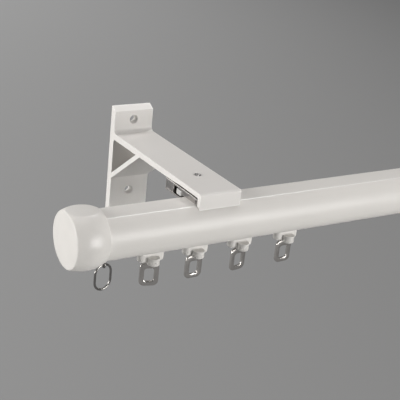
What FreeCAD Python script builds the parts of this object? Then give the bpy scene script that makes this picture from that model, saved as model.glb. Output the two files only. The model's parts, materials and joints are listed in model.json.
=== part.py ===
import FreeCAD, Part
import math
import os
from FreeCAD import Vector

# A wall-fixed curtain track with click-in brackets and wheeled gliders, in millimetres.
# X runs along the track, Y into the wall and Z up. The origin is the centre of the four
# wall holes, on the wall's surface.

# Where the rod hangs
rod_from_wall = 99.4        # wall surface to the rod's axis
rod_below_holes = 4.25      # rod's axis below the middle of the wall holes

# Rod
rod_length = 500.0
rod_radius = 14.0
rod_wall = 1.5
rod_flat_drop = 1.7         # top of the full round down to the flat
rod_flat_wall = 2.1
slot_width = 6.4
ledge_height = 3.4          # bottom of the rod up to the wheels' treads
notch_below_flat = 0.6      # clip notches in both shoulders, under each bracket
notch_height = 0.5
notch_undercut = 0.3        # how far a notch reaches in past the flat's edge
notch_inset = 0.8           # end of a notch inside the bracket's side

# End caps
cap_length = 19.1
cap_lip = 0.8               # mouth beyond the rod's round
cap_swell = 3.3             # belly beyond the rod's round
cap_belly_from_mouth = 9.9
cap_face_radius = 15.5
cap_flat_drop = 1.8         # top of the belly down to its flat
cap_rim_round = 0.6
plug_length = 12.0
plug_clearance = 0.1
tongue_length = 7.0

# End rings and the eye screws they hang in
eye_from_mouth = 4.0
eye_wire_radius = 0.55
eye_hole_radius = 1.1
eye_neck_length = 1.3       # cap's tongue to the top of the loop
eye_shank_radius = 0.9
eye_shank_depth = 4.6       # shank inside the end cap
eye_collar_radius = 1.5
eye_collar_height = 0.5
eye_shank_clearance = 0.05
ring_wire_radius = 0.65
ring_width = 11.5
ring_height = 16.0
ring_drop = 0.15            # how far the ring's wire hangs below the eye's middle
ring_turn = 10.0            # degrees about Z

# Brackets
bracket_from_rod_end = 67.5
bracket_width = 26.2
plate_thickness = 4.95
plate_above_hole = 8.25
plate_below_hole = 14.75
plate_top_slope = 2.45
wall_hole_spacing = 47.0
wall_hole_radius = 2.5
wall_hole_chamfer = 0.5
arm_thickness = 3.95
arm_fillet = 3.0
arm_nose_round = 1.2
lip_over_shoulder = 1.44    # rod's shoulder at the notch to the lip's outer face
lip_thickness = 2.4
lip_below_notch = 1.6
lip_gap = 0.12
lip_inner_round = 1.2
toe_clearance = 0.05
toe_side_gap = 0.3
brace_angle = 37.0
brace_thickness = 2.8
brace_foot_below_arm = 25.6
brace_corner_round = 2.0

# Click-in clip under each arm
clip_height = 3.4           # rod's flat to the arm's underside
clip_inset = 0.2            # clip's side behind the arm's side
clip_sheet = 1.0
clip_boss_height = 0.6      # gap between the arm and the clip, but for the boss
clip_boss_radius = 3.4
clip_lip_gap = 0.3
clip_front_wall_start = -4.3    # along the arm, from the rod's axis towards the wall
clip_front_wall_end = 10.1
clip_rear_wall_start = 19.4
clip_rear_end = 28.0
clip_box_depth = 6.4        # height of the rear box
clip_side_gap = 0.4         # side walls' foot to the floor tongue
clip_floor_start = 12.0
clip_floor_inset = 0.3
clip_hook_gap = 0.6         # rod's flat to the front hook
clip_round = 0.6

# Release slider and its spring
slider_front = 11.2
slider_length = 5.2
slider_inset = 0.2
slider_nose_inset = 2.0
slider_top_gap = 0.3
slider_below_nose = 0.6
tail_width = 10.0
tail_length = 7.0
tail_gap = 0.3
spring_thickness = 0.4
spring_height = 3.0
spring_chord = 18.0
spring_gap = 0.1

# Clip screw
screw_from_rod = 17.5
screw_off_middle = 0.9
screw_head_radius = 2.1
screw_head_height = 1.3
screw_radius = 1.2
screw_clearance = 0.15
screw_head_clearance = 0.15
screw_recess_length = 2.5
screw_recess_width = 0.6
screw_recess_depth = 0.7

# Gliders: distance of each from the left rod end, and how far its eyelet is turned
glider_places = [32.2, 60.5, 90.4, 122.6]
eyelet_turns = [-16.0, 2.0, 9.0, 3.0]
blade_length = 15.8
blade_clearance = 0.4       # each side, in the rod's slot
blade_above_foot = 0.8      # blade's foot above the cross bar's
blade_round = 1.8
blade_above_axle = 2.2
bar_length = 14.6           # the ridged bar across each blade
bar_width = 6.8
bar_below_rod = 2.2
bar_height = 4.5
bar_foot_round = 1.0
bar_groove_depth = 0.25
bar_groove_height = 0.45
bar_groove_pitch = 0.95

# Wheels and axles
wheel_radius = 3.7
wheel_width = 2.5
wheel_gap = 0.35            # carriage to wheel
wheel_hub_radius = 1.7
wheel_dish = 0.4
wheel_round = 0.4
tread_gap = 0.1
axle_spacing = 10.4
axle_radius = 0.8
axle_clearance = 0.06
axle_press = 0.02
axle_end = 0.3

# Eyelets
eyelet_width = 11.0
eyelet_height = 14.0
eyelet_thickness = 1.6
eyelet_side = 2.7
eyelet_foot = 2.6
eyelet_head_band = 3.5
eyelet_outer_round = 3.0
eyelet_inner_round = 1.6
eyelet_edge_round = 0.4
swivel_gap = 0.3
swivel_radius = 1.1
swivel_clearance = 0.06
swivel_head_radius = 1.75
swivel_head_height = 1.0
swivel_head_clearance = 0.15
swivel_seat_height = 12.6   # bar's foot up to the floor of the head's pocket

# Values that follow from the ones above
rod_end = rod_length / 2
rod_flat_height = rod_radius - rod_flat_drop
rod_flat_half = math.sqrt(rod_radius ** 2 - rod_flat_height ** 2)
channel_radius = rod_radius - rod_wall
channel_top = rod_flat_height - rod_flat_wall
tread_depth = rod_radius - ledge_height
notch_top = rod_flat_height - notch_below_flat
notch_bottom = notch_top - notch_height
notch_floor = rod_flat_half - notch_undercut
notch_shoulder = math.sqrt(rod_radius ** 2 - (notch_top - notch_height / 2) ** 2)
toe_low = notch_bottom + toe_clearance
toe_high = notch_top - toe_clearance
toe_reach = notch_floor + 2 * toe_clearance
notch_half = bracket_width / 2 - notch_inset
toe_half = notch_half - toe_side_gap
bracket_place = rod_end - bracket_from_rod_end
cap_belly_radius = rod_radius + cap_swell
cap_flat_height = cap_belly_radius - cap_flat_drop
lip_reach = notch_shoulder + lip_over_shoulder
arm_underside = rod_flat_height + clip_height
arm_top = arm_underside + arm_thickness
eye_height = -(rod_radius + eye_neck_length + 2 * eye_wire_radius + eye_hole_radius)
wheel_height = -tread_depth + tread_gap + wheel_radius
blade_width = slot_width - 2 * blade_clearance
wheel_inner = blade_width / 2 + wheel_gap
bar_top = -(rod_radius + bar_below_rod)
bar_foot = bar_top - bar_height
blade_foot = bar_foot + blade_above_foot
swivel_seat = bar_foot + swivel_seat_height
eyelet_top = bar_foot - swivel_gap
eyelet_bottom = eyelet_top - eyelet_height
clip_width = bracket_width - 2 * clip_inset
slider_width = clip_width - 2 * slider_inset
clip_front = -lip_reach + lip_thickness + clip_lip_gap
clip_top = arm_underside - clip_boss_height
clip_ceiling = clip_top - clip_sheet
clip_box_floor = clip_top - clip_box_depth
clip_floor_top = clip_box_floor + clip_sheet
screw_place = (screw_off_middle, screw_from_rod)
brace_rise = brace_thickness / math.cos(math.radians(brace_angle))
beyond = 3 * rod_radius     # how far cutting tools reach past what they cut


def block(x0, x1, y0, y1, z0, z1):
    return Part.makeBox(x1 - x0, y1 - y0, z1 - z0, Vector(x0, y0, z0))


def rod_x(radius, x0, x1, y=0.0, z=0.0):
    return Part.makeCylinder(radius, x1 - x0, Vector(x0, y, z), Vector(1, 0, 0))


def rod_y(radius, y0, y1, x=0.0, z=0.0):
    return Part.makeCylinder(radius, y1 - y0, Vector(x, y0, z), Vector(0, 1, 0))


def rod_z(radius, z0, z1, x=0.0, y=0.0):
    return Part.makeCylinder(radius, z1 - z0, Vector(x, y, z0), Vector(0, 0, 1))


def round_edges(shape, radius, wanted):
    chosen = [edge for edge in shape.Edges if wanted(edge)]
    return shape.makeFillet(radius, chosen)


def near(a, b):
    return abs(a - b) < 1e-4


def runs_along(edge, axis):
    box = edge.BoundBox
    spans = {"x": box.XLength, "y": box.YLength, "z": box.ZLength}
    others = [spans[name] for name in spans if name != axis]
    return spans[axis] > 1e-3 and max(others) < 1e-4


def hang_on_rod(shape):
    """Moves a shape that is drawn about the rod's axis to its place off the wall."""
    moved = shape.copy()
    moved.translate(Vector(0, -rod_from_wall, -rod_below_holes))
    return moved


def write(name, shape):
    shape = shape.removeSplitter()
    if not shape.isValid():
        raise ValueError(name + " is not a valid solid")
    if len(shape.Solids) != 1:
        raise ValueError(name + " has %d solids" % len(shape.Solids))
    shape.Solids[0].exportStep("parts/" + name + ".step")


def channel_section(x0, x1, shrink):
    """The runner channel above its treads, or a plug that fits it."""
    round_part = rod_x(channel_radius - shrink, x0, x1)
    between = block(x0, x1, -rod_radius, rod_radius, -tread_depth + shrink, channel_top - shrink)
    return round_part.common(between)


def make_rod():
    body = rod_x(rod_radius, -rod_end, rod_end)
    body = body.cut(block(-beyond - rod_end, rod_end + beyond, -beyond, beyond, rod_flat_height, beyond))
    body = body.cut(channel_section(-rod_end - 1, rod_end + 1, 0.0))
    half_slot = slot_width / 2
    body = body.cut(block(-rod_end - 1, rod_end + 1, -half_slot, half_slot, -beyond, -tread_depth + 1))
    for side in (-1, 1):
        floor_y = side * notch_floor
        mouth_y = side * beyond
        low_y, high_y = sorted((floor_y, mouth_y))
        for middle in (-bracket_place, bracket_place):
            notch = block(middle - notch_half, middle + notch_half, low_y, high_y, notch_bottom, notch_top)
            body = body.cut(notch)
    return body


def cap_shell():
    """The bulging cap with its mouth at X = 0, pointing towards -X."""
    mouth = Vector(0, rod_radius + cap_lip, 0)
    belly = Vector(-cap_belly_from_mouth, cap_belly_radius, 0)
    rim = Vector(-cap_length, cap_face_radius, 0)
    edges = [
        Part.LineSegment(Vector(0, 0, 0), mouth).toShape(),
        Part.Arc(mouth, belly, rim).toShape(),
        Part.LineSegment(rim, Vector(-cap_length, 0, 0)).toShape(),
        Part.LineSegment(Vector(-cap_length, 0, 0), Vector(0, 0, 0)).toShape(),
    ]
    half = Part.Face(Part.Wire(edges))
    shell = half.revolve(Vector(0, 0, 0), Vector(1, 0, 0), 360)
    shell = round_edges(shell, cap_rim_round, is_front_rim)
    return shell.cut(block(-beyond, beyond, -beyond, beyond, cap_flat_height, beyond))


def is_front_rim(edge):
    box = edge.BoundBox
    return near(box.XMin, -cap_length) and box.XLength < 1e-4 and box.YLength > rod_radius


def make_end_cap():
    cap = cap_shell().fuse(channel_section(-1, plug_length, plug_clearance))
    half_tongue = slot_width / 2 - plug_clearance
    tongue = block(-1, tongue_length, -half_tongue, half_tongue, -beyond, -tread_depth + 1)
    cap = cap.fuse(tongue.common(rod_x(rod_radius, -1, tongue_length)))
    hole_radius = eye_shank_radius + eye_shank_clearance
    hole = rod_z(hole_radius, -beyond, -rod_radius + eye_shank_depth + eye_shank_clearance, eye_from_mouth)
    return cap.cut(hole)


def make_eye_screw():
    ring_middle = eye_hole_radius + eye_wire_radius
    middle = Vector(eye_from_mouth, 0, eye_height)
    loop = Part.makeTorus(ring_middle, eye_wire_radius, middle, Vector(1, 0, 0))
    loop_top = eye_height + ring_middle
    shank = rod_z(eye_shank_radius, loop_top, -rod_radius + eye_shank_depth, eye_from_mouth)
    collar = rod_z(eye_collar_radius, -rod_radius - eye_collar_height, -rod_radius, eye_from_mouth)
    return loop.fuse(shank).fuse(collar)


def make_end_ring():
    bend = ring_width / 2 - ring_wire_radius
    straight = ring_height / 2 - ring_wire_radius - bend
    top = eye_height - ring_drop
    middle = top - bend - straight
    upper = middle + straight
    lower = middle - straight
    path = [
        Part.LineSegment(Vector(-bend, 0, lower), Vector(-bend, 0, upper)).toShape(),
        Part.Arc(Vector(-bend, 0, upper), Vector(0, 0, top), Vector(bend, 0, upper)).toShape(),
        Part.LineSegment(Vector(bend, 0, upper), Vector(bend, 0, lower)).toShape(),
        Part.Arc(Vector(bend, 0, lower), Vector(0, 0, lower - bend), Vector(-bend, 0, lower)).toShape(),
    ]
    section = Part.Wire(Part.makeCircle(ring_wire_radius, Vector(-bend, 0, lower), Vector(0, 0, 1)))
    ring = Part.Wire(path).makePipeShell([section], True, False)
    ring.rotate(Vector(0, 0, 0), Vector(0, 0, 1), ring_turn)
    ring.translate(Vector(eye_from_mouth, 0, 0))
    return ring


def bracket_outline():
    """The extruded section in the YZ plane, drawn about the rod's axis."""
    wall = rod_from_wall
    plate_front = wall - plate_thickness
    top = rod_below_holes + wall_hole_spacing / 2 + plate_above_hole
    bottom = rod_below_holes - wall_hole_spacing / 2 - plate_below_hole
    brace_foot = arm_underside - brace_foot_below_arm
    brace_tip = plate_front - brace_foot_below_arm / math.tan(math.radians(brace_angle))
    corners = [
        (wall, bottom),
        (wall, top),
        (plate_front, top - plate_top_slope),
        (plate_front, arm_top),
        (-lip_reach, arm_top),
        (-lip_reach, notch_bottom - lip_below_notch),
        (-lip_reach + lip_thickness, notch_bottom - lip_below_notch),
        (-lip_reach + lip_thickness, arm_underside),
        (brace_tip, arm_underside),
        (plate_front, brace_foot),
        (plate_front, bottom),
    ]
    points = [Vector(-bracket_width / 2, y, z) for y, z in corners]
    return Part.Face(Part.makePolygon(points + points[:1]))


def brace_window():
    """The triangle between arm, brace and plate."""
    plate_front = rod_from_wall - plate_thickness
    foot = arm_underside - brace_foot_below_arm + brace_rise
    tip = plate_front - (arm_underside - foot) / math.tan(math.radians(brace_angle))
    corners = [(plate_front, arm_underside), (tip, arm_underside), (plate_front, foot)]
    points = [Vector(-bracket_width, y, z) for y, z in corners]
    window = Part.Face(Part.makePolygon(points + points[:1])).extrude(Vector(2 * bracket_width, 0, 0))
    top_corner = (plate_front, arm_underside)
    return round_edges(window, brace_corner_round, lambda edge: is_corner_along_x(edge, *top_corner))


def is_corner_along_x(edge, y, z):
    box = edge.BoundBox
    return runs_along(edge, "x") and near(box.YMin, y) and near(box.ZMin, z)


def make_bracket():
    bracket = bracket_outline().extrude(Vector(bracket_width, 0, 0))
    plate_front = rod_from_wall - plate_thickness
    rounds = [
        (plate_front, arm_top, arm_fillet),
        (-lip_reach, arm_top, arm_nose_round),
        (-lip_reach + lip_thickness, arm_underside, lip_inner_round),
    ]
    for y, z, radius in rounds:
        bracket = round_edges(bracket, radius, lambda edge: is_corner_along_x(edge, y, z))
    bracket = bracket.cut(brace_window())
    bracket = bracket.cut(rod_x(rod_radius + lip_gap, -bracket_width, bracket_width))
    toe = block(-toe_half, toe_half, -lip_reach + lip_thickness / 4, -toe_reach, toe_low, toe_high)
    bracket = bracket.fuse(toe)
    for side in (-1, 1):
        bracket = bracket.cut(wall_hole(rod_below_holes + side * wall_hole_spacing / 2))
    return bracket.cut(screw_hole())


def wall_hole(height):
    front = rod_from_wall - plate_thickness
    hole = rod_y(wall_hole_radius, front - 1, rod_from_wall + 1, 0, height)
    mouth = Part.makeCone(
        wall_hole_radius + wall_hole_chamfer, wall_hole_radius, wall_hole_chamfer,
        Vector(0, front, height), Vector(0, 1, 0))
    return hole.fuse(mouth)


def screw_hole():
    hole = rod_z(screw_radius + screw_clearance, arm_underside - 1, arm_top + 1, *screw_place)
    return hole.fuse(countersink(screw_head_clearance))


def countersink(grow):
    head_bottom = arm_top - screw_head_height - grow
    cone = Part.makeCone(
        screw_radius + grow, screw_head_radius + grow, screw_head_height,
        Vector(*screw_place, head_bottom), Vector(0, 0, 1))
    return cone.fuse(rod_z(screw_head_radius + grow, arm_top - grow, arm_top + grow, *screw_place))


def make_clip_screw():
    head_bottom = arm_top - screw_head_height
    head = Part.makeCone(
        screw_radius, screw_head_radius, screw_head_height,
        Vector(*screw_place, head_bottom), Vector(0, 0, 1))
    shank = rod_z(screw_radius, clip_ceiling, head_bottom + 0.5, *screw_place)
    screw = head.fuse(shank)
    half_long = screw_recess_length / 2
    half_wide = screw_recess_width / 2
    floor = arm_top - screw_recess_depth
    x, y = screw_place
    for half_x, half_y in ((half_long, half_wide), (half_wide, half_long)):
        screw = screw.cut(block(x - half_x, x + half_x, y - half_y, y + half_y, floor, arm_top + 1))
    return screw


def make_clip_body():
    half = clip_width / 2
    inner = half - clip_sheet
    clip = block(-half, half, clip_front, clip_rear_end, clip_ceiling, clip_top)
    hook_end = rod_flat_height + clip_hook_gap
    clip = clip.fuse(block(-half, half, clip_front, clip_front + clip_sheet, hook_end, clip_top))
    for side in (-1, 1):
        low_x, high_x = sorted((side * inner, side * half))
        front = block(low_x, high_x, clip_front_wall_start, clip_front_wall_end, rod_flat_height, clip_top)
        side_foot = clip_floor_top + clip_side_gap
        rear = block(low_x, high_x, clip_rear_wall_start, clip_rear_end, side_foot, clip_top)
        clip = clip.fuse(front).fuse(rear)
    clip = clip.fuse(block(-half, half, clip_rear_end - clip_sheet, clip_rear_end, clip_box_floor, clip_top))
    tongue = half - clip_floor_inset
    clip = clip.fuse(block(-tongue, tongue, clip_floor_start, clip_rear_end, clip_box_floor, clip_floor_top))
    clip = clip.removeSplitter()
    clip = round_edges(clip, clip_round, lambda edge: is_clip_bend(edge, half))
    clip = clip.fuse(rod_z(clip_boss_radius, clip_ceiling, arm_underside, *screw_place))
    return clip.cut(rod_z(screw_radius, clip_ceiling - 1, arm_underside + 1, *screw_place))


def is_clip_bend(edge, half):
    box = edge.BoundBox
    on_side = near(abs(box.XMin), half) and near(box.ZMin, clip_top)
    return is_corner_along_x(edge, clip_front, clip_top) or (runs_along(edge, "y") and on_side)


def make_release_slider():
    top = clip_ceiling - slider_top_gap
    half = slider_width / 2
    back = slider_front + slider_length
    slider = block(-half, half, slider_front, back, toe_low - slider_below_nose, top)
    slider = round_edges(slider, clip_round, lambda edge: runs_along(edge, "z"))
    nose_half = toe_half - slider_nose_inset
    slider = slider.fuse(block(-nose_half, nose_half, toe_reach, slider_front + 1, toe_low, toe_high))
    tail_half = tail_width / 2
    tail_low = clip_floor_top + tail_gap
    return slider.fuse(block(-tail_half, tail_half, back - 1, back + tail_length, tail_low, top))


def make_slider_spring():
    """A bowed leaf spring from the rear box's back wall to the slider's tail."""
    back = clip_rear_end - clip_sheet - spring_gap
    front = slider_front + slider_length + tail_length + spring_gap
    half = spring_chord / 2
    outer = Part.Arc(Vector(-half, back, 0), Vector(0, front, 0), Vector(half, back, 0))
    inner_half = half - 1.5 * spring_thickness
    inner_middle = Vector(0, front + spring_thickness, 0)
    inner = Part.Arc(Vector(-inner_half, back, 0), inner_middle, Vector(inner_half, back, 0))
    edges = [
        outer.toShape(),
        Part.LineSegment(Vector(half, back, 0), Vector(inner_half, back, 0)).toShape(),
        inner.toShape(),
        Part.LineSegment(Vector(-inner_half, back, 0), Vector(-half, back, 0)).toShape(),
    ]
    leaf = Part.Face(Part.Wire(Part.__sortEdges__(edges))).extrude(Vector(0, 0, spring_height))
    middle = (clip_floor_top + clip_ceiling) / 2
    leaf.translate(Vector(0, 0, middle - spring_height / 2))
    return leaf


def round_ended(half_long, half_wide, z0, z1):
    """A bar along X with half-round ends, seen from above."""
    reach = half_long - half_wide
    bar = block(-reach, reach, -half_wide, half_wide, z0, z1)
    for end in (-reach, reach):
        bar = bar.fuse(rod_z(half_wide, z0, z1, end))
    return bar.removeSplitter()


def is_level(edge, height):
    box = edge.BoundBox
    return box.ZLength < 1e-4 and near(box.ZMin, height)


def make_cross_bar():
    half_long = bar_length / 2
    half_wide = bar_width / 2
    bar = round_ended(half_long, half_wide, bar_foot, bar_top)
    bar = round_edges(bar, bar_foot_round, lambda edge: is_level(edge, bar_foot))
    for level in (1, 2):
        low = bar_foot + bar_foot_round + level * bar_groove_pitch - bar_groove_height
        high = low + bar_groove_height
        around = round_ended(half_long + 1, half_wide + 1, low, high)
        core = round_ended(half_long - bar_groove_depth, half_wide - bar_groove_depth, low, high)
        bar = bar.cut(around.cut(core))
    bar.rotate(Vector(0, 0, 0), Vector(0, 0, 1), 90)
    return bar


def make_carriage():
    half_wide = blade_width / 2
    top = wheel_height + blade_above_axle
    blade = round_ended(blade_length / 2, half_wide, blade_foot, top)
    blade = round_edges(blade, blade_round, lambda edge: is_level(edge, blade_foot))
    carriage = blade.fuse(make_cross_bar())
    carriage = carriage.cut(rod_z(swivel_head_radius + swivel_head_clearance, swivel_seat, top + 1))
    carriage = carriage.cut(rod_z(swivel_radius + swivel_clearance, bar_foot - 1, swivel_seat + 1))
    for side in (-1, 1):
        axle_x = side * axle_spacing / 2
        bore = rod_y(axle_radius + axle_clearance, -blade_width, blade_width, axle_x, wheel_height)
        carriage = carriage.cut(bore)
    return carriage


def make_axle():
    half = wheel_inner + wheel_width + axle_end
    return rod_y(axle_radius, -half, half, 0, wheel_height)


def make_wheel(side):
    """A nylon wheel with a dished outer face, on one side of the carriage."""
    inner = side * wheel_inner
    outer = side * (wheel_inner + wheel_width)
    low, high = sorted((inner, outer))
    wheel = rod_y(wheel_radius, low, high, 0, wheel_height)
    wheel = round_edges(wheel, wheel_round, lambda edge: edge.BoundBox.YLength < 1e-4)
    dish_floor = outer - side * wheel_dish
    low, high = sorted((dish_floor, outer + side))
    dish = rod_y(wheel_radius - 2 * wheel_round, low, high, 0, wheel_height)
    dish = dish.cut(rod_y(wheel_hub_radius, low - 1, high + 1, 0, wheel_height))
    wheel = wheel.cut(dish)
    return wheel.cut(rod_y(axle_radius - axle_press, -beyond, beyond, 0, wheel_height))


def make_eyelet(turn):
    half = eyelet_width / 2
    half_thick = eyelet_thickness / 2
    plate = block(-half, half, -half_thick, half_thick, eyelet_bottom, eyelet_top)
    plate = round_edges(plate, eyelet_outer_round, lambda edge: runs_along(edge, "y"))
    hole_half = half - eyelet_side
    hole_bottom = eyelet_bottom + eyelet_foot
    hole_top = eyelet_top - eyelet_head_band
    window = block(-hole_half, hole_half, -half, half, hole_bottom, hole_top)
    window = round_edges(window, eyelet_inner_round, lambda edge: runs_along(edge, "y"))
    plate = plate.cut(window)
    plate = round_edges(plate, eyelet_edge_round, lambda edge: edge.BoundBox.YLength < 1e-4)
    head_bottom = swivel_seat + swivel_head_clearance
    pin = rod_z(swivel_radius, eyelet_top - eyelet_head_band / 2, head_bottom + swivel_head_height / 2)
    head = rod_z(swivel_head_radius, head_bottom, head_bottom + swivel_head_height)
    eyelet = plate.fuse(pin).fuse(head)
    eyelet.rotate(Vector(0, 0, 0), Vector(0, 0, 1), turn)
    return eyelet


def at_x(shape, x):
    moved = shape.copy()
    moved.translate(Vector(x, 0, 0))
    return moved


def write_glider(number, place, turn):
    x = place - rod_end
    name = "glider_%d_" % number
    write(name + "carriage", hang_on_rod(at_x(make_carriage(), x)))
    write(name + "eyelet", hang_on_rod(at_x(make_eyelet(turn), x)))
    for end, direction in (("left", -1), ("right", 1)):
        axle_x = x + direction * axle_spacing / 2
        write(name + end + "_axle", hang_on_rod(at_x(make_axle(), axle_x)))
        write(name + end + "_front_wheel", hang_on_rod(at_x(make_wheel(-1), axle_x)))
        write(name + end + "_rear_wheel", hang_on_rod(at_x(make_wheel(1), axle_x)))


def write_end(side, at_left_end):
    """Writes what sits at one end; the right end is the left one mirrored."""
    pieces = {"end_cap_": make_end_cap(), "eye_screw_": make_eye_screw(), "end_ring_": make_end_ring()}
    for name, shape in pieces.items():
        shape = at_x(shape, -rod_end)
        if not at_left_end:
            shape = shape.mirror(Vector(0, 0, 0), Vector(1, 0, 0))
        write(name + side, hang_on_rod(shape))


def write_bracket(side, x):
    pieces = {
        "bracket_": make_bracket(),
        "clip_body_": make_clip_body(),
        "clip_screw_": make_clip_screw(),
        "release_slider_": make_release_slider(),
        "slider_spring_": make_slider_spring(),
    }
    for name, shape in pieces.items():
        write(name + side, hang_on_rod(at_x(shape, x)))


def main():
    os.makedirs("parts", exist_ok=True)
    write("rod", hang_on_rod(make_rod()))
    write_end("left", True)
    write_end("right", False)
    write_bracket("left", -bracket_place)
    write_bracket("right", bracket_place)
    for index, place in enumerate(glider_places):
        write_glider(index + 1, place, eyelet_turns[index])


main()
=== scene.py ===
import json
import math
import bmesh
import bpy
from mathutils import Matrix, Vector


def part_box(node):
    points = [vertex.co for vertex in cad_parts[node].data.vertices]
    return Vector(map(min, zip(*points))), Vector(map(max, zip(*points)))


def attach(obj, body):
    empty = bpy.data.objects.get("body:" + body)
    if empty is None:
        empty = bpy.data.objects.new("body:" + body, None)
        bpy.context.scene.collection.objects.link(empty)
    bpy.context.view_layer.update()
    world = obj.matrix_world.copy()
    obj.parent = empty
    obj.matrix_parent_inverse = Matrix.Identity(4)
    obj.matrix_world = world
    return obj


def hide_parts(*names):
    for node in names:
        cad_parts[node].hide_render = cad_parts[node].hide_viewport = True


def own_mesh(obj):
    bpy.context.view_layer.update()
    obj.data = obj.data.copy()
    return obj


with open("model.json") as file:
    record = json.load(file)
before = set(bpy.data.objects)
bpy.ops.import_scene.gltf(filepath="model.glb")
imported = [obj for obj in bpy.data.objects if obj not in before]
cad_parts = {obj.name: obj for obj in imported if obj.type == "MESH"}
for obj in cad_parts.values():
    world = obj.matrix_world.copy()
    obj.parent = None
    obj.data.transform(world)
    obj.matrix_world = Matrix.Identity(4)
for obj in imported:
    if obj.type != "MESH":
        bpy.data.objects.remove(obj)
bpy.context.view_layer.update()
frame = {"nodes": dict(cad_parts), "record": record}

mm = 0.001
sides = ("left", "right")
gliders = (1, 2, 3, 4)
alongX, alongY, alongZ = Vector((1, 0, 0)), Vector((0, 1, 0)), Vector((0, 0, 1))

# everything is drawn in millimetres about the rod's axis, and moved to its place at the end
rodFlat = 12.3                                   # axis to the flat on top
rodLow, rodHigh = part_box("rod")
rodCrease = (6.69, rodFlat)                      # where the flat meets the round
rodAxis = Vector((0, (rodLow.y + rodHigh.y) / 2, rodHigh.z - rodFlat * mm))
toRow = Matrix.Translation(rodAxis) @ Matrix.Diagonal((mm, mm, mm, 1))
fromRow = toRow.inverted()

onePoint = 0.0005                                # points nearer than this are one
near = 0.01                                      # how exactly a drawn edge is looked for


class Wire:
    # one socket of a node tree, which can stand in sums
    def __init__(self, nodes, socket):
        self.nodes = nodes
        self.socket = socket

    def sum(self, operation, first, second):
        return self.nodes.node("ShaderNodeMath", {"operation": operation}, {0: first, 1: second})

    def __add__(self, other):
        return self.sum("ADD", self, other)

    def __radd__(self, other):
        return self.sum("ADD", other, self)

    def __sub__(self, other):
        return self.sum("SUBTRACT", self, other)

    def __rsub__(self, other):
        return self.sum("SUBTRACT", other, self)

    def __mul__(self, other):
        return self.sum("MULTIPLY", self, other)

    def __rmul__(self, other):
        return self.sum("MULTIPLY", other, self)


class Nodes:
    # the nodes of a material or of the sky
    def __init__(self, tree):
        self.tree = tree

    def plug(self, socket, value):
        if isinstance(value, Wire):
            self.tree.links.new(value.socket, socket)
        else:
            socket.default_value = value

    def node(self, kind, settings=None, sockets=None, output=0):
        made = self.tree.nodes.new(kind)
        for name, value in (settings or {}).items():
            if name == "stops":
                ramp = made.color_ramp
                while len(ramp.elements) < len(value):
                    ramp.elements.new(0.5)
                for element, (position, grey) in zip(ramp.elements, value):
                    element.position = position
                    element.color = (grey, grey, grey, 1)
            else:
                setattr(made, name, value)
        for name, value in (sockets or {}).items():
            self.plug(made.inputs[name], value)
        return Wire(self, made.outputs[output])

    def tint(self, factor, first, second):
        # colours are written with three parts
        first, second = (part + (1,) if isinstance(part, tuple) else part for part in (first, second))
        return self.node("ShaderNodeMix", {"data_type": "RGBA"}, {0: factor, 6: first, 7: second}, 2)

    def seen(self):
        # 1 for what the camera sees, also in a mirror or through glass, and 0 for light
        camera, mirror, glass = (
            self.node("ShaderNodeLightPath", output=name)
            for name in ("Is Camera Ray", "Is Glossy Ray", "Is Transmission Ray"))
        return camera + mirror + glass


class Finish(Nodes):
    # a material built round one Principled shader
    def __init__(self, name, **fixed):
        self.material = bpy.data.materials.new(name)
        self.material.use_nodes = True
        super().__init__(self.material.node_tree)
        self.tree.nodes.clear()
        self.shader = self.tree.nodes.new("ShaderNodeBsdfPrincipled")
        output = self.tree.nodes.new("ShaderNodeOutputMaterial")
        self.tree.links.new(self.shader.outputs[0], output.inputs["Surface"])
        self.place = self.node("ShaderNodeTexCoord", output="Object")
        self.set(**fixed)

    def set(self, **varying):
        for socket, value in varying.items():
            self.plug(self.shader.inputs[socket.replace("_", " ")], value)

    def noise(self, size, detail, stretch=(1, 1, 1)):
        # size is the width of one blotch in millimetres, and stretch draws it out
        place = self.place
        if stretch != (1, 1, 1):
            scale = tuple(1 / part for part in stretch)
            place = self.node("ShaderNodeMapping", {}, {"Vector": place, "Scale": scale})
        sockets = {"Vector": place, "Scale": 1 / (size * mm), "Detail": detail}
        return self.node("ShaderNodeTexNoise", {}, sockets, "Fac")

    def ramp(self, wire, *stops):
        return self.node("ShaderNodeValToRGB", {"stops": stops}, {"Fac": wire})

    def edges(self, width):
        # 1 on outer edges, and 0 a width in millimetres away from them: where edge light is painted
        settings = {"inside": True, "only_local": True, "samples": 6}
        depth = self.node("ShaderNodeAmbientOcclusion", settings, {"Distance": width * mm}, "AO")
        return self.ramp(1 - depth, (0.12, 0.0), (0.5, 1.0))

    def part(self, axis):
        return self.node("ShaderNodeSeparateXYZ", {}, {0: self.place}, axis)

    def along(self, line, width):
        # 1 near a line that runs along the rod, given by its distance and height from the rod's axis
        y, z = (self.part(axis) * (1 / mm) for axis in ("Y", "Z"))
        across = self.node("ShaderNodeMath", {"operation": "ABSOLUTE"}, {0: y - rodAxis.y / mm}) - line[0]
        up = z - rodAxis.z / mm - line[1]
        return self.ramp((across * across + up * up) * (0.5 / width ** 2), (0.4, 1.0), (0.6, 0.0))

    def bump(self, height, depth):
        # depth is the height of the relief in millimetres
        self.set(Normal=self.node("ShaderNodeBump", {}, {"Height": height, "Distance": depth * mm}))


edgeHighlightWhite = (0.93, 0.92, 0.90)                   # the painted highlight on the edges of the white finishes

# sizes of the patterns, widths of the painted edge light and crease highlight, and heights of the relief,
# in millimetres
coat = {
    "peel": 2.6, "grain": 0.45, "drawLines": 0.9, "cloud": 38, "relief": 0.012,
    "rubbedEdge": 0.6, "creaseLine": 0.32, "darker": 0.965, "roughness": 0.35,
}
plastic = {"grain": 0.55, "flow": 14, "relief": 0.01, "rubbedEdge": 0.4, "darker": 0.95}
steel = {"blotch": 3.2, "grain": 0.25, "relief": 0.002, "rubbedEdge": 0.25, "dulledEdge": 0.4}


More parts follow.
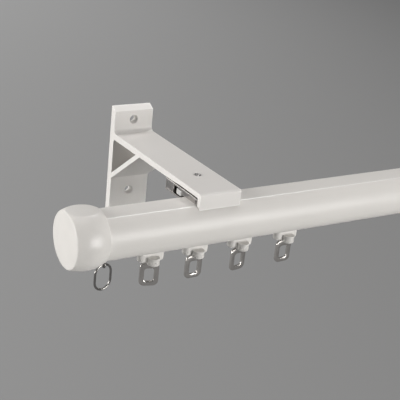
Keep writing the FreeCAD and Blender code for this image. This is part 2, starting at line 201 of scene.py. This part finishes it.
def powderCoat(name, colour, streak, crease=None):
    # white polyester powder over drawn aluminium: orange peel, faint draw lines, and painted highlights on
    # its edges and along a crease
    finish = Finish(name)
    peel = finish.noise(coat["peel"], 2)
    grain = finish.noise(coat["grain"], 3)
    drawLines = finish.noise(coat["drawLines"], 2, streak)
    cloud = finish.noise(coat["cloud"], 3)
    shade = finish.ramp(cloud * 0.75 + drawLines * 0.25, (0.3, 0.0), (0.7, 1.0))
    darker = tuple(part * coat["darker"] for part in colour)
    # a painted highlight on the outer edges
    paintedEdgeMask = finish.edges(coat["rubbedEdge"])
    # and a painted highlight along the crease
    if crease:
        paintedEdgeMask = paintedEdgeMask + finish.along(crease, coat["creaseLine"])
    skin = finish.tint(shade, darker, colour)
    finish.set(
        Base_Color=finish.tint(paintedEdgeMask, skin, edgeHighlightWhite),
        Roughness=coat["roughness"] + 0.10 * grain - 0.13 * paintedEdgeMask)
    finish.bump(peel * 0.7 + grain * 0.2 + drawLines * 0.1, coat["relief"])
    return finish.material


def mouldedPlastic(name, colour, roughness):
    # satin white plastic: a fine spark-eroded grain, faint flow marks and a painted highlight on its edges
    finish = Finish(name)
    grain = finish.noise(plastic["grain"], 3)
    flow = finish.noise(plastic["flow"], 3)
    darker = tuple(part * plastic["darker"] for part in colour)
    shade = finish.ramp(flow, (0.32, 0.0), (0.66, 1.0))
    # a painted highlight on the outer edges
    paintedEdgeMask = finish.edges(plastic["rubbedEdge"])
    skin = finish.tint(shade, darker, colour)
    finish.set(
        Base_Color=finish.tint(paintedEdgeMask * 0.7, skin, edgeHighlightWhite),
        Roughness=roughness - 0.05 + 0.10 * grain - 0.08 * paintedEdgeMask)
    finish.bump(grain * 0.6 + flow * 0.4, plastic["relief"])
    return finish.material


def bareSteel(name, colour, roughness, streak=(1, 1, 1), stain=0.85, paintedEdgeLight=1.3, dulled=0.0):
    # stain darkens its blotches; the edge factor gives its edges a painted highlight above 1 and painted
    # shade below 1; dulled takes their mirror away
    finish = Finish(name)
    blotch = finish.noise(steel["blotch"], 4)
    grain = finish.noise(steel["grain"], 3, streak)
    stained = tuple(part * stain for part in colour)
    shade = finish.ramp(blotch * 0.6 + grain * 0.4, (0.35, 0.0), (0.62, 1.0))
    # the painted highlight or painted shade on the edges
    paintedEdgeColour = tuple(min(0.95, part * paintedEdgeLight) for part in colour)
    metal = finish.tint(shade, stained, colour)
    paintedEdgeMask = finish.edges(steel["rubbedEdge"] + dulled * steel["dulledEdge"])
    finish.set(
        Base_Color=finish.tint(paintedEdgeMask * (0.6 + dulled * 0.4), metal, paintedEdgeColour),
        Roughness=roughness - 0.06 + 0.12 * grain, Metallic=1 - dulled * paintedEdgeMask if dulled else 1.0)
    finish.bump(grain, steel["relief"])
    return finish.material


finishes = {
    "rod_coat": powderCoat("rodCoat", (0.81, 0.79, 0.76), (60, 1, 1), rodCrease),
    "bracket_coat": powderCoat("bracketCoat", (0.82, 0.80, 0.775), (60, 1, 1)),
    "cap_plastic": mouldedPlastic("capPlastic", (0.81, 0.79, 0.76), 0.32),
    "dark_steel": bareSteel("darkSteel", (0.30, 0.29, 0.28), 0.24),
    "ring_steel": bareSteel("ringSteel", (0.33, 0.32, 0.31), 0.15),
    # painted highlight on the clip's edges
    "clip_steel": bareSteel(
        "clipSteel", (0.50, 0.48, 0.465), 0.26, (30, 1, 1), stain=0.75, paintedEdgeLight=1.9, dulled=0.7),
    # painted shade on the screw's edges
    "screw_steel": bareSteel("screwSteel", (0.62, 0.61, 0.60), 0.22, paintedEdgeLight=0.3),
    "spring_steel": bareSteel("springSteel", (0.42, 0.40, 0.38), 0.26, (30, 1, 1)),
    "slider_plastic": mouldedPlastic("sliderPlastic", (0.56, 0.56, 0.55), 0.40),
    "glider_nylon": mouldedPlastic("gliderNylon", (0.76, 0.745, 0.72), 0.42),
    "wheel_nylon": mouldedPlastic("wheelNylon", (0.80, 0.78, 0.74), 0.42),
    "axle_steel": bareSteel("axleSteel", (0.62, 0.60, 0.57), 0.22, (1, 30, 1)),
    # painted shade as dark outlines on the eyelets' edges
    "eyelet_steel": bareSteel("eyeletSteel", (0.68, 0.655, 0.63), 0.15, paintedEdgeLight=0.35),
}
print("finishes made")


def vertsOf(geom):
    return [part for part in geom if isinstance(part, bmesh.types.BMVert)]


def edgesOf(geom):
    return [part for part in geom if isinstance(part, bmesh.types.BMEdge)]


def everything(bm):
    return bm.verts[:] + bm.edges[:] + bm.faces[:]


class Outline:
    # a line drawn stroke by stroke in one plane
    def __init__(self, bm, across, up, start, base=(0, 0, 0)):
        self.bm = bm
        self.across = across
        self.up = up
        self.base = Vector(base)
        self.first = bm.verts.new(self.at(start))
        self.last = self.first
        self.edges = []

    def at(self, point):
        return self.base + self.across * point[0] + self.up * point[1]

    def line(self, *point):
        made = bmesh.ops.extrude_vert_indiv(self.bm, verts=[self.last])
        self.last = made["verts"][0]
        self.last.co = self.at(point)
        self.edges += made["edges"]

    def arc(self, point, centre, steps):
        middle = self.at(centre)
        axis = self.across.cross(self.up)
        start = self.last.co - middle
        end = self.at(point) - middle
        angle = math.atan2(start.cross(end).dot(axis), start.dot(end))
        before = set(self.bm.edges)
        turned = bmesh.ops.spin(
            self.bm, geom=[self.last], cent=middle, axis=axis, angle=angle, steps=steps,
            use_merge=False, use_normal_flip=False, use_duplicate=False)
        self.edges += [edge for edge in self.bm.edges if edge not in before]
        self.last = vertsOf(turned["geom_last"])[0]
        self.last.co = self.at(point)

    def close(self):
        self.edges.append(self.bm.edges.new((self.last, self.first)))
        return self

    def fill(self):
        return bmesh.ops.edgeloop_fill(self.bm, edges=self.edges)["faces"][0]

    def geom(self):
        return list(dict.fromkeys(vert for edge in self.edges for vert in edge.verts)) + self.edges


def roundedBox(outline, left, right, low, high, radius, steps=6):
    # goes round a rectangle with round corners; the outline starts on its lower side
    outline.line(right - radius, low)
    outline.arc((right, low + radius), (right - radius, low + radius), steps)
    outline.line(right, high - radius)
    outline.arc((right - radius, high), (right - radius, high - radius), steps)
    outline.line(left + radius, high)
    outline.arc((left, high - radius), (left + radius, high - radius), steps)
    outline.line(left, low + radius)
    outline.arc((left + radius, low), (left + radius, low + radius), steps)
    outline.close()


def turnOnLathe(bm, outline, centre, axis, steps):
    # a full turn of an outline whose ends lie on the axis, or that is closed
    bmesh.ops.spin(
        bm, geom=outline.geom(), cent=centre, axis=axis, angle=math.tau, steps=steps,
        use_merge=True, use_normal_flip=False, use_duplicate=False)
    bmesh.ops.remove_doubles(bm, verts=bm.verts, dist=onePoint)


def sweepRoundEnds(bm, outline, reach, steps):
    # carries an outline, which stands at X = reach, round a long hole's shape
    geom = outline.geom()
    for end in (reach, -reach):
        turned = bmesh.ops.spin(
            bm, geom=geom, cent=(end, 0, 0), axis=alongZ, angle=math.pi, steps=steps,
            use_merge=False, use_normal_flip=False, use_duplicate=False)["geom_last"]
        made = bmesh.ops.extrude_edge_only(bm, edges=edgesOf(turned))["geom"]
        verts = vertsOf(made)
        bmesh.ops.translate(bm, verts=verts, vec=alongX * (-2 * end))
        geom = verts + [edge for edge in edgesOf(made) if all(vert in verts for vert in edge.verts)]
    bmesh.ops.remove_doubles(bm, verts=bm.verts, dist=onePoint)


def edgesWhere(bm, test):
    return [edge for edge in bm.edges if test(*(vert.co for vert in edge.verts))]


def sharpEdges(bm, degrees, test=lambda a, b: True):
    return [
        edge for edge in edgesWhere(bm, test)
        if len(edge.link_faces) == 2 and edge.calc_face_angle() > math.radians(degrees)]


def pushFace(bm, face, vector):
    made = bmesh.ops.extrude_face_region(bm, geom=[face])["geom"]
    bmesh.ops.translate(bm, verts=vertsOf(made), vec=vector)


def roundOff(bm, edges, radius, segments=3):
    bmesh.ops.bevel(
        bm, geom=edges, offset=radius, offset_type="OFFSET", affect="EDGES", segments=segments,
        profile=0.5, material=-1, clamp_overlap=True)


def pieceName(node):
    first, *rest = node.split("_")
    return first + "".join(word.capitalize() for word in rest)


def keepPiece(bm, node, slot, edgeRadius=0.0, sharpFrom=32, name=None):
    # moves the drawn shape to its place, and lets it stand for a CAD node
    name = name or pieceName(node)
    bmesh.ops.transform(bm, matrix=toRow, verts=bm.verts)
    for face in bm.faces:
        face.smooth = True
    for edge in bm.edges:
        if len(edge.link_faces) == 2:
            edge.smooth = edge.calc_face_angle() < math.radians(sharpFrom)
    mesh = bpy.data.meshes.new(name)
    bm.to_mesh(mesh)
    bm.free()
    mesh.materials.append(finishes[slot])
    piece = bpy.data.objects.new(name, mesh)
    bpy.context.scene.collection.objects.link(piece)
    if edgeRadius:
        bevel = piece.modifiers.new("softEdges", "BEVEL")
        bevel.width = edgeRadius * mm
        bevel.segments = 2
        bevel.limit_method = "ANGLE"
        bevel.angle_limit = math.radians(sharpFrom)
        bevel.harden_normals = True
    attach(piece, bodyOf[node])
    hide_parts(node)
    return piece


def copyNode(node):
    # a CAD mesh is loose triangles: merge them, and join what lies flat
    mesh = frame["nodes"][node].data.copy()
    normals = mesh.attributes.get("custom_normal")
    if normals:
        mesh.attributes.remove(normals)
    bm = bmesh.new()
    bm.from_mesh(mesh)
    bpy.data.meshes.remove(mesh)
    bmesh.ops.transform(bm, matrix=fromRow, verts=bm.verts)
    bmesh.ops.remove_doubles(bm, verts=bm.verts, dist=0.001)
    bmesh.ops.dissolve_limit(bm, angle_limit=math.radians(0.4), verts=bm.verts, edges=bm.edges)
    return bm


bodyOf = {node: body for body, nodes in frame["record"]["behaviour"]["bodies"].items() for node in nodes}


def middleOf(node):
    # a node's middle along the rod, in millimetres
    low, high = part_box(node)
    return (low.x + high.x) / 2 / mm


rod = {
    "radius": 14.0, "flat": rodFlat, "channel": 12.5, "ceiling": 10.2, "tread": -10.6, "slotHalf": 3.2,
    "notchTop": 11.7, "notchBottom": 11.2, "notchFloor": 6.387, "notchHalf": 12.3,
    "flatEdge": 0.35, "slotEdge": 0.2, "steps": 48,
}


def onRound(radius, z):
    return (-math.sqrt(radius ** 2 - z ** 2), z)


def notchStrip(bm, low=-math.inf, high=math.inf):
    # the narrow faces on both shoulders, from one notch end to the other
    faces = []
    for face in bm.faces:
        middle = face.calc_center_median()
        level = rod["notchBottom"] < middle.z < rod["notchTop"] and abs(middle.y) > rod["notchFloor"]
        if level and abs(face.normal.x) < 0.5 and low < middle.x < high:
            faces.append(face)
    return faces


def cutNotches(bm, middle):
    ends = (middle - rod["notchHalf"], middle + rod["notchHalf"])
    for x in ends:
        strip = notchStrip(bm)
        geom = strip + list(dict.fromkeys(edge for face in strip for edge in face.edges))
        bmesh.ops.bisect_plane(bm, geom=geom, plane_co=(x, 0, 0), plane_no=alongX, dist=0.0001)
    mouths = notchStrip(bm, *ends)
    for face in mouths:
        made = bmesh.ops.extrude_face_region(bm, geom=[face])["geom"]
        for vert in vertsOf(made):
            vert.co.y = math.copysign(rod["notchFloor"], vert.co.y)
    bmesh.ops.delete(bm, geom=mouths, context="FACES_ONLY")


def makeRod():
    length = (rodHigh.x - rodLow.x) / mm
    bm = bmesh.new()
    slotZ = -math.sqrt(rod["radius"] ** 2 - rod["slotHalf"] ** 2)
    centre = (0, 0)
    half = Outline(bm, alongY, alongZ, (0, rod["flat"]), (-length / 2, 0, 0))
    half.line(*onRound(rod["radius"], rod["flat"]))
    half.arc(onRound(rod["radius"], rod["notchTop"]), centre, 2)
    half.arc(onRound(rod["radius"], rod["notchBottom"]), centre, 1)
    half.arc((-rod["slotHalf"], slotZ), centre, rod["steps"])
    half.line(-rod["slotHalf"], rod["tread"])
    half.line(*onRound(rod["channel"], rod["tread"]))
    half.arc(onRound(rod["channel"], rod["ceiling"]), centre, rod["steps"])
    half.line(0, rod["ceiling"])
    geom = bm.verts[:] + bm.edges[:]
    bmesh.ops.mirror(bm, geom=geom, axis="Y", matrix=Matrix.Identity(4), merge_dist=0.001)
    face = bmesh.ops.edgeloop_fill(bm, edges=bm.edges[:])["faces"][0]
    pushFace(bm, face, alongX * length)
    bmesh.ops.recalc_face_normals(bm, faces=bm.faces)
    corners = {"flatEdge": onRound(rod["radius"], rod["flat"]), "slotEdge": (-rod["slotHalf"], slotZ)}
    for size, (y, z) in corners.items():
        edges = edgesWhere(bm, lambda a, b: (
            abs(a.x - b.x) > length / 2 and abs(abs(a.y) + y) < near and abs(a.z - z) < near))
        roundOff(bm, edges, rod[size])
    for side in sides:
        cutNotches(bm, middleOf("bracket_" + side))
    keepPiece(bm, "rod", "rod_coat", name="rodProfile")


makeRod()
print("rod made")


endCap = {
    # radii at the mouth, the belly and the face, and the height of the flat on top
    "mouth": 14.8, "belly": 17.3, "bellyAt": 9.9, "face": 15.5, "flat": 15.5,
    "rimRound": 0.6, "lipRound": 0.25, "flatEdge": 0.3, "steps": 144,
    "plugLength": 12.0, "plugGap": 0.1, "tongueLength": 7.0, "leadIn": 0.5, "overlap": 1.0,
}

eyeScrew = {
    "loopMiddle": -17.5, "loopRadius": 1.65, "wire": 0.55, "shank": 0.9, "shankTop": -9.4,
    "collar": 1.5, "collarHeight": 0.5, "collarEdge": 0.12, "neck": 0.62, "overlap": 0.3, "tip": 0.6,
}

endRing = {"width": 11.5, "height": 16.0, "wire": 0.65, "wireTop": -17.65, "turn": 10.0}


def throughThree(a, b, c):
    # the centre of the circle through three points
    d = 2 * (a[0] * (b[1] - c[1]) + b[0] * (c[1] - a[1]) + c[0] * (a[1] - b[1]))
    squares = [point[0] ** 2 + point[1] ** 2 for point in (a, b, c)]
    x = (squares[0] * (b[1] - c[1]) + squares[1] * (c[1] - a[1]) + squares[2] * (a[1] - b[1])) / d
    y = (squares[0] * (c[0] - b[0]) + squares[1] * (a[0] - c[0]) + squares[2] * (b[0] - a[0])) / d
    return (x, y)


def mirrorX(bm):
    bmesh.ops.scale(bm, vec=(-1, 1, 1), verts=bm.verts)
    bmesh.ops.recalc_face_normals(bm, faces=bm.faces)


def makeCapShell(bm, length):
    rim, mouth = (-length, endCap["face"]), (0, endCap["mouth"])
    belly = (-endCap["bellyAt"], endCap["belly"])
    side = Outline(bm, alongX, alongZ, (-length, 0))
    side.line(*rim)
    side.arc(mouth, throughThree(rim, belly, mouth), 24)
    side.line(0, 0)
    turnOnLathe(bm, side, (0, 0, 0), alongX, endCap["steps"])
    corners = {"rimRound": rim, "lipRound": mouth}
    for size, (x, radius) in corners.items():
        edges = edgesWhere(bm, lambda a, b: all(
            abs(end.x - x) < near and abs(math.hypot(end.y, end.z) - radius) < near for end in (a, b)))
        roundOff(bm, edges, endCap[size], 4)
    bmesh.ops.bisect_plane(
        bm, geom=everything(bm), plane_co=(0, 0, endCap["flat"]), plane_no=alongZ, clear_outer=True,
        dist=onePoint)
    bmesh.ops.edgeloop_fill(bm, edges=[edge for edge in bm.edges if len(edge.link_faces) == 1])
    bmesh.ops.recalc_face_normals(bm, faces=bm.faces)
    onFlat = sharpEdges(bm, 14, lambda a, b: min(a.z, b.z) > endCap["flat"] - 0.001)
    roundOff(bm, onFlat, endCap["flatEdge"])


def makePlug(bm):
    # the plug fills the runner channel, and its tongue the slot
    gap, overlap = endCap["plugGap"], endCap["overlap"]
    radius = rod["channel"] - gap
    high, low = rod["ceiling"] - gap, rod["tread"] + gap
    plug = Outline(bm, alongY, alongZ, onRound(radius, high), (-overlap, 0, 0))
    plug.arc(onRound(radius, low), (0, 0), 24)
    plug.line(-onRound(radius, low)[0], low)
    plug.arc((-onRound(radius, high)[0], high), (0, 0), 24)
    pushFace(bm, plug.close().fill(), alongX * (endCap["plugLength"] + overlap))
    plugEnd = edgesWhere(bm, lambda a, b: min(a.x, b.x) > endCap["plugLength"] - near)
    roundOff(bm, plugEnd, endCap["leadIn"], 1)
    half = rod["slotHalf"] - gap
    bottom = -math.sqrt(rod["radius"] ** 2 - half ** 2)
    tongue = Outline(bm, alongY, alongZ, (-half, low + overlap), (-overlap, 0, 0))
    tongue.line(-half, bottom)
    tongue.arc((half, bottom), (0, 0), 8)
    tongue.line(half, low + overlap)
    pushFace(bm, tongue.close().fill(), alongX * (endCap["tongueLength"] + overlap))
    bmesh.ops.recalc_face_normals(bm, faces=bm.faces)


def makeEndCap(side):
    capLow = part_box("end_cap_left")[0]
    bm = bmesh.new()
    makeCapShell(bm, (rodLow.x - capLow.x) / mm)
    makePlug(bm)
    bmesh.ops.translate(bm, verts=bm.verts, vec=alongX * (rodLow.x / mm))
    if side == "right":
        mirrorX(bm)
    keepPiece(bm, "end_cap_" + side, "cap_plastic", sharpFrom=24)


def makeEyeScrew(side):
    bm = bmesh.new()
    wire, loop, middle = eyeScrew["wire"], eyeScrew["loopRadius"], eyeScrew["loopMiddle"]
    section = Outline(bm, alongX, alongZ, (wire, middle + loop))
    section.arc((-wire, middle + loop), (0, middle + loop), 8)
    section.arc((wire, middle + loop), (0, middle + loop), 8)
    turnOnLathe(bm, section, (0, 0, middle), alongX, 32)
    bottom = -rod["radius"] - eyeScrew["collarHeight"]
    loopTop, overlap, edge = middle + loop, eyeScrew["overlap"], eyeScrew["collarEdge"]
    shank = Outline(bm, alongX, alongZ, (0, loopTop - overlap))
    shank.line(eyeScrew["neck"], loopTop - overlap)
    shank.line(eyeScrew["neck"], loopTop + overlap)
    shank.line(eyeScrew["shank"], bottom - overlap)
    shank.line(eyeScrew["shank"], bottom)
    shank.line(eyeScrew["collar"] - edge, bottom)
    shank.line(eyeScrew["collar"], bottom + edge)
    shank.line(eyeScrew["collar"], -rod["radius"])
    shank.line(eyeScrew["shank"], -rod["radius"])
    shank.line(eyeScrew["shank"], eyeScrew["shankTop"] - eyeScrew["tip"])
    shank.line(0, eyeScrew["shankTop"])
    turnOnLathe(bm, shank, (0, 0, 0), alongZ, 32)
    bmesh.ops.recalc_face_normals(bm, faces=bm.faces)
    bmesh.ops.translate(bm, verts=bm.verts, vec=alongX * middleOf("eye_screw_" + side))
    keepPiece(bm, "eye_screw_" + side, "dark_steel")


def makeEndRing(side):
    bm = bmesh.new()
    wire = endRing["wire"]
    bend = endRing["width"] / 2 - wire
    reach = endRing["height"] / 2 - wire - bend
    section = Outline(bm, alongY, alongZ, (-bend - wire, 0), (reach, 0, 0))
    section.arc((-bend + wire, 0), (-bend, 0), 8)
    section.arc((-bend - wire, 0), (-bend, 0), 8)
    sweepRoundEnds(bm, section, reach, 24)
    bmesh.ops.recalc_face_normals(bm, faces=bm.faces)
    upright = Matrix(((0, 1, 0), (0, 0, 1), (1, 0, 0))).to_4x4()
    turn = endRing["turn"] if side == "left" else -endRing["turn"]
    place = Vector((middleOf("end_ring_" + side), 0, endRing["wireTop"] - bend - reach))
    matrix = Matrix.Translation(place) @ Matrix.Rotation(math.radians(turn), 4, "Z") @ upright
    bmesh.ops.transform(bm, matrix=matrix, verts=bm.verts)
    keepPiece(bm, "end_ring_" + side, "ring_steel", sharpFrom=60)


for side in sides:
    makeEndCap(side)
    makeEyeScrew(side)
    makeEndRing(side)
print("end caps and rings made")


clipScrew = {
    "armTop": 19.65, "crown": 0.5, "crownRadius": 1.45, "headRadius": 2.1, "headHeight": 1.3, "shank": 1.2,
    "end": 14.8, "fromRod": 17.5,
    "recessHalf": 1.25, "recessHalfWidth": 0.3, "recessDepth": 0.7, "recessTaper": 0.72, "steps": 48,
}


def makeClipScrew(side):
    bm = bmesh.new()
    armTop, radius, crownRadius = clipScrew["armTop"], clipScrew["headRadius"], clipScrew["crownRadius"]
    top = armTop + clipScrew["crown"]
    long, wide = clipScrew["recessHalf"], clipScrew["recessHalfWidth"]
    cross = Outline(bm, alongX, alongY, (long, -wide), (0, 0, top))
    for point in ((long, wide), (wide, wide), (wide, long), (-wide, long), (-wide, wide), (-long, wide),
                  (-long, -wide), (-wide, -wide), (-wide, -long), (wide, -long), (wide, -wide)):
        cross.line(*point)
    lid = cross.close().fill()
    made = bmesh.ops.extrude_face_region(bm, geom=[lid])["geom"]
    floor, taper = vertsOf(made), clipScrew["recessTaper"]
    bmesh.ops.translate(bm, verts=floor, vec=(0, 0, -clipScrew["recessDepth"]))
    bmesh.ops.scale(bm, vec=(taper, taper, 1), verts=floor)
    lids = [face for face in bm.faces if face.calc_center_median().z > top - 0.001]
    bmesh.ops.delete(bm, geom=lids, context="FACES_ONLY")
    head = Outline(bm, alongX, alongY, (crownRadius, 0), (0, 0, top))
    head.arc((-crownRadius, 0), (0, 0), clipScrew["steps"] // 2)
    head.arc((crownRadius, 0), (0, 0), clipScrew["steps"] // 2)
    bmesh.ops.remove_doubles(bm, verts=bm.verts, dist=onePoint)
    loops = edgesWhere(bm, lambda a, b: min(a.z, b.z) > top - 0.001)
    bmesh.ops.triangle_fill(bm, edges=loops, use_beauty=True, use_dissolve=True)
    flank = Outline(bm, alongX, alongZ, (crownRadius, top))
    flank.arc((radius, armTop), (crownRadius, armTop), 5)
    flank.line(clipScrew["shank"], armTop - clipScrew["headHeight"])
    flank.line(clipScrew["shank"], clipScrew["end"])
    flank.line(0, clipScrew["end"])
    turnOnLathe(bm, flank, (0, 0, 0), alongZ, clipScrew["steps"])
    bmesh.ops.recalc_face_normals(bm, faces=bm.faces)
    place = (middleOf("clip_screw_" + side), clipScrew["fromRod"], 0)
    bmesh.ops.translate(bm, verts=bm.verts, vec=place)
    keepPiece(bm, "clip_screw_" + side, "screw_steel", 0.06)


for side in sides:
    makeClipScrew(side)
print("clip screws made")


eyelet = {
    "width": 11.0, "top": -21.0, "bottom": -35.0, "thickness": 1.6,
    "side": 2.7, "foot": 2.6, "headBand": 3.5,   # the widths round its window
    "outerRound": 3.0, "innerRound": 1.6, "edge": 0.4, "pin": 1.1, "pinInPlate": 0.6,
    "head": 1.75, "headLow": -7.95, "headHeight": 1.0, "headEdge": 0.15,
    "turns": {1: -16.0, 2: 2.0, 3: 9.0, 4: 3.0},  # in degrees, for each glider
}


def makeEyelet(number):
    bm = bmesh.new()
    half, back = eyelet["width"] / 2, -eyelet["thickness"] / 2
    top, bottom = eyelet["top"], eyelet["bottom"]
    outer = Outline(bm, alongX, alongZ, (0, bottom), (0, back, 0))
    roundedBox(outer, -half, half, bottom, top, eyelet["outerRound"])
    holeHalf, holeLow, holeHigh = half - eyelet["side"], bottom + eyelet["foot"], top - eyelet["headBand"]
    window = Outline(bm, alongX, alongZ, (0, holeLow), (0, back, 0))
    roundedBox(window, -holeHalf, holeHalf, holeLow, holeHigh, eyelet["innerRound"])
    faces = bmesh.ops.bridge_loops(bm, edges=outer.edges + window.edges)["faces"]
    made = bmesh.ops.extrude_face_region(bm, geom=faces)["geom"]
    bmesh.ops.translate(bm, verts=vertsOf(made), vec=alongY * eyelet["thickness"])
    bmesh.ops.recalc_face_normals(bm, faces=bm.faces)
    roundOff(bm, sharpEdges(bm, 60), eyelet["edge"])
    head, headLow, edge = eyelet["head"], eyelet["headLow"], eyelet["headEdge"]
    headHigh = headLow + eyelet["headHeight"]
    pin = Outline(bm, alongX, alongZ, (0, top - eyelet["pinInPlate"]))
    pin.line(eyelet["pin"], top - eyelet["pinInPlate"])
    pin.line(eyelet["pin"], headLow)
    pin.line(head - edge, headLow)
    pin.line(head, headLow + edge)
    pin.line(head, headHigh - edge)
    pin.line(head - edge, headHigh)
    pin.line(0, headHigh)
    turnOnLathe(bm, pin, (0, 0, 0), alongZ, 32)
    bmesh.ops.recalc_face_normals(bm, faces=bm.faces)
    node = "glider_%d_eyelet" % number
    turn = Matrix.Rotation(math.radians(eyelet["turns"][number]), 4, "Z")
    matrix = Matrix.Translation((middleOf(node), 0, 0)) @ turn
    bmesh.ops.transform(bm, matrix=matrix, verts=bm.verts)
    keepPiece(bm, node, "eyelet_steel", sharpFrom=40)


for number in gliders:
    makeEyelet(number)
print("eyelets made")


bracketArm = {
    "underside": 15.7, "lip": -7.1, "lipCorner": 1.25, "clipTop": 14.0, "clipLift": 0.7,
    # how far the arm's underside stands above the solid's: (from the rod, height)
    "thinning": ((-8, 1.15), (13, 1.15), (22, 0.7), (60.48, 0.35), (92.45, 0.0)),
}


def thinning(y):
    steps = bracketArm["thinning"]
    for (start, first), (end, last) in zip(steps, steps[1:]):
        if start <= y <= end:
            return first + (last - first) * (y - start) / (end - start)
    return 0.0


def thinArm(bm):
    # the arm grows thinner towards its lip, as the photograph's does
    low, lip, slack = bracketArm["underside"], bracketArm["lip"], 0.05
    for y, _ in bracketArm["thinning"][1:3]:
        bmesh.ops.bisect_plane(bm, geom=everything(bm), plane_co=(0, y, 0), plane_no=alongY, dist=0.0001)
    for vert in bm.verts:
        onUnderside = low - slack < vert.co.z < low + slack
        inLipCorner = low - bracketArm["lipCorner"] < vert.co.z < low and lip - slack < vert.co.y < 0
        if onUnderside or inLipCorner:
            vert.co.z += thinning(vert.co.y)


def liftClip(bm):
    # the clip's top plate follows the thinner arm
    for vert in bm.verts:
        if vert.co.z > bracketArm["clipTop"]:
            vert.co.z += bracketArm["clipLift"]


softEdges = {
    # the CAD's form with softer edges, for each side: (slot, radius of its edges)
    "bracket_": ("bracket_coat", 0.3),
    "clip_body_": ("clip_steel", 0.12),
    "release_slider_": ("slider_plastic", 0.3),
    "slider_spring_": ("spring_steel", 0.05),
}

for side in sides:
    for stem, (slot, edgeRadius) in softEdges.items():
        node = stem + side
        bm = copyNode(node)
        if stem == "bracket_":
            thinArm(bm)
        if stem == "clip_body_":
            liftClip(bm)
        piece = keepPiece(bm, node, slot, edgeRadius)
        if stem == "slider_spring_":
            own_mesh(piece)

for number in gliders:
    stem = "glider_%d_" % number
    keepPiece(copyNode(stem + "carriage"), stem + "carriage", "glider_nylon", 0.12, 25)
    for side in sides:
        for wheel in ("_front_wheel", "_rear_wheel"):
            frame["nodes"][stem + side + wheel].material_slots[0].material = finishes["wheel_nylon"]
        frame["nodes"][stem + side + "_axle"].material_slots[0].material = finishes["axle_steel"]
print("brackets, clips and carriages made")


studio = {
    "floorHeight": -0.34, "floorSize": 9.0, "floorColour": (0.33, 0.332, 0.33),
    "skyLight": (0.038, 0.039, 0.04), "backdrop": (0.195, 0.195, 0.193), "seenColour": (0.1, 0.1, 0.1),
    # the grey that the camera sees in the middle, and its change a metre to the right and to the back: a
    # painted falloff of light across the floor
    "grey": 0.171, "greyRight": -0.075, "greyBack": 0.045, "greyRange": (0.12, 0.25),
}

lampAim = (-0.19, -0.08, -0.01)                  # the end of the track that the camera sees
lamps = {
    # name: (place, size, power, colour), and where they differ, aim and spread in degrees
    "keyLamp": ((0.75, -2.05, 1.22), 0.5, 1.2, (1.0, 0.985, 0.965)),
    "rightLamp": ((0.464, -1.412, 0.056), 0.78, 15.6, (1.0, 0.985, 0.965)),
    "leftLamp": ((-2.5, 0.45, 0.45), 1.3, 53, (1.0, 0.985, 0.965)),
    "topLamp": ((-0.1, 0.2, 2.4), 1.6, 16, (1.0, 0.97, 0.955)),
    "backLamp": ((1.03, 0.76, 1.87), 0.5, 14, (1.0, 0.985, 0.97)),
    "edgeLamp": ((-1.75, 2.3, 0.9), 0.7, 8, (1.0, 0.985, 0.97)),
    "farFloorLamp": ((0.4, 2.5, 1.1), 1.4, 11, (1.0, 0.99, 0.98), (0.7, 2.1, -0.34), 130),
}


def makeFloor():
    bm = bmesh.new()
    bmesh.ops.create_grid(bm, x_segments=2, y_segments=2, size=studio["floorSize"] / 2)
    bmesh.ops.translate(bm, verts=bm.verts, vec=(0, 0, studio["floorHeight"]))
    mesh = bpy.data.meshes.new("floor")
    bm.to_mesh(mesh)
    bm.free()
    finish = Finish("floorPaper", Roughness=0.9, Specular_IOR_Level=0.1, Emission_Strength=1.0)
    seen = finish.seen()
    x, y = (finish.part(axis) for axis in ("X", "Y"))
    # painted falloff of light: darker to the right and lighter towards the back
    paintedFalloff = studio["grey"] + studio["greyRight"] * x + studio["greyBack"] * y
    low, high = studio["greyRange"]
    grey = finish.ramp(paintedFalloff, (low, low), (high, high))
    cloud = finish.noise(600, 2)
    colour = studio["floorColour"]
    paper = finish.tint(cloud, tuple(part * 0.98 for part in colour), colour)
    finish.set(
        Base_Color=finish.tint(seen, paper, studio["seenColour"]),
        Emission_Color=finish.tint(seen, (0, 0, 0), grey))
    mesh.materials.append(finish.material)
    floor = bpy.data.objects.new("floor", mesh)
    bpy.context.scene.collection.objects.link(floor)


def makeSky():
    world = bpy.data.worlds.new("studio")
    world.use_nodes = True
    sky = Nodes(world.node_tree)
    colour = sky.tint(sky.seen(), studio["skyLight"], studio["backdrop"])
    sky.plug(world.node_tree.nodes["Background"].inputs["Color"], colour)
    bpy.context.scene.world = world


def makeLamp(name, place, size, power, colour, aim=lampAim, spread=180):
    light = bpy.data.lights.new(name, "AREA")
    light.shape = "SQUARE"
    light.size = size
    light.energy = power
    light.color = colour
    light.spread = math.radians(spread)
    lamp = bpy.data.objects.new(name, light)
    lamp.location = place
    lamp.rotation_euler = (Vector(aim) - Vector(place)).to_track_quat("-Z", "Y").to_euler()
    bpy.context.scene.collection.objects.link(lamp)


view = {
    # the photograph's: metres, degrees and millimetres
    "place": (-0.46307, -0.51414, 0.20919), "turn": -33.403, "rise": 22.041, "roll": 6.135, "lens": 88.17,
}


def makeCamera():
    turn, rise, roll = (math.radians(view[part]) for part in ("turn", "rise", "roll"))
    back = Vector((math.sin(turn) * math.cos(rise), -math.cos(turn) * math.cos(rise), math.sin(rise)))
    right = (-back).cross(alongZ).normalized()
    up = back.cross(right)
    rolledRight = right * math.cos(roll) + up * math.sin(roll)
    rolledUp = up * math.cos(roll) - right * math.sin(roll)
    camera = bpy.data.cameras.new("camera")
    camera.lens = view["lens"]
    camera.sensor_width = 36
    camera.clip_start = 0.02
    holder = bpy.data.objects.new("camera", camera)
    axes = Matrix((rolledRight, rolledUp, back)).transposed().to_4x4()
    holder.matrix_world = Matrix.Translation(view["place"]) @ axes
    bpy.context.scene.collection.objects.link(holder)
    bpy.context.scene.camera = holder


makeFloor()
makeSky()
for name, settings in lamps.items():
    makeLamp(name, *settings)
makeCamera()
bpy.context.scene.view_settings.view_transform = "Standard"
print("floor, lights and camera set")
